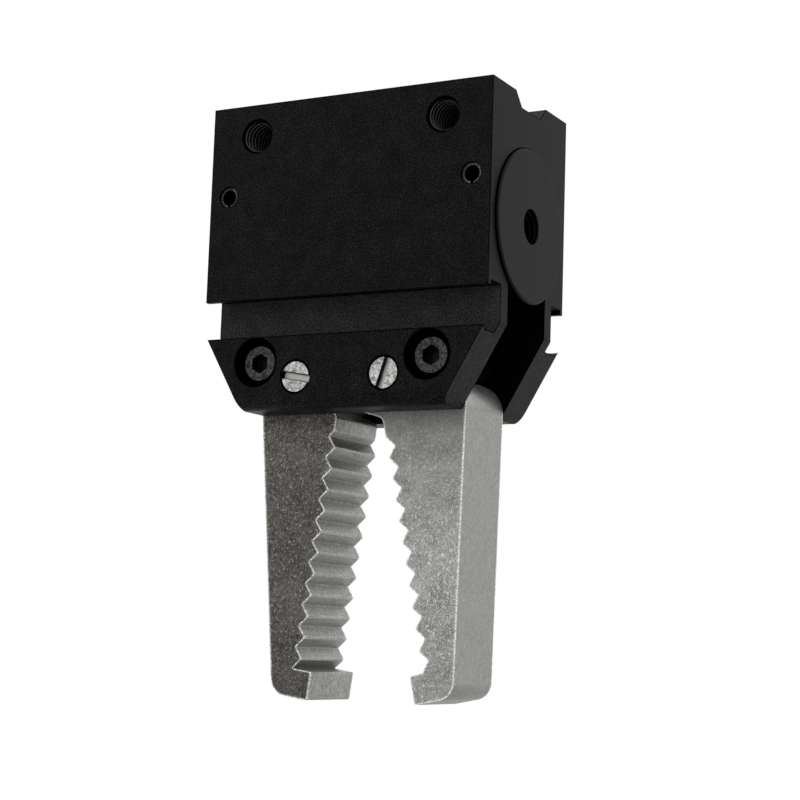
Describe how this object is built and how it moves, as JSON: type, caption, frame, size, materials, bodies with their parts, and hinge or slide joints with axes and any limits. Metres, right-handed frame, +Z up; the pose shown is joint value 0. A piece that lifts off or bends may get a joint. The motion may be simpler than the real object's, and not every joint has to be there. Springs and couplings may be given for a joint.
{
  "type": "pneumatic finger gripper",
  "caption": "Angular pneumatic gripper: black block with a cylinder bore and side rail grooves, two serrated steel jaws that swing together on pivots.",
  "frame": {"origin": "centre of the top face, over the rail groove", "axes": "+X along the cylinder bore to the air port, +Z up, jaws hang down, mounting threads face -Y"},
  "size_m": [0.0458, 0.025, 0.0847],
  "materials": {
    "body_black": "black anodised, fine satin grain",
    "cylinder_black": "black anodised, turned",
    "left_jaw_steel": "bead blasted, ground edges",
    "right_jaw_steel": "bead blasted, ground edges",
    "pin_steel": "bright steel",
    "screw_steel": "dark steel",
    "bush_bronze": "sintered bronze",
    "turned_aluminium": "turned, bare",
    "seal_rubber": "black nitrile",
    "guide_plastic": "cream bearing plastic",
    "spring_steel": "spring wire"
  },
  "bodies": {
    "base": {"body": "body_black", "air_cylinder": "cylinder_black", "spring_housing": "cylinder_black", "spring_pin_left": "pin_steel", "spring_pin_right": "pin_steel", "cheek_screw_left": "screw_steel", "cheek_screw_right": "screw_steel", "pivot_screw_left": "pin_steel", "pivot_screw_right": "pin_steel", "return_spring": "spring_steel"},
    "left_jaw": {"left_jaw": "left_jaw_steel", "pivot_bush_left": "bush_bronze"},
    "right_jaw": {"right_jaw": "right_jaw_steel", "pivot_bush_right": "bush_bronze"},
    "piston": {"piston": "turned_aluminium", "piston_seal": "seal_rubber", "piston_guide_ring": "guide_plastic", "piston_bumper": "seal_rubber", "push_pin": "pin_steel"},
    "spring_seat": {"spring_seat": "turned_aluminium"}
  },
  "joints": [
    {"name": "left_jaw_close", "type": "hinge", "parent": "base", "child": "left_jaw", "pos_m": [-0.007, 0, -0.04], "axis": [0, -1, 0], "range_deg": [0, 8.8], "stiffness_Nm_per_rad": 3.4, "springref_deg": -2.86},
    {"name": "right_jaw_close", "type": "hinge", "parent": "base", "child": "right_jaw", "pos_m": [0.007, 0, -0.04], "axis": [0, 1, 0], "range_deg": [0, 12.8]},
    {"name": "piston_stroke", "type": "slide", "parent": "base", "child": "piston", "axis": [-1, 0, 0], "range_m": [0, 0.00332]},
    {"name": "seat_stroke", "type": "slide", "parent": "base", "child": "spring_seat", "axis": [-1, 0, 0], "range_m": [0, 0.00332], "deforming": ["return_spring"]}
  ],
  "couplings": [
    {"joint": "right_jaw_close", "follows": "left_jaw_close", "ratio": 1.4545},
    {"joint": "piston_stroke", "follows": "left_jaw_close", "m_per_rad": 0.021636},
    {"joint": "seat_stroke", "follows": "left_jaw_close", "m_per_rad": 0.021636}
  ]
}
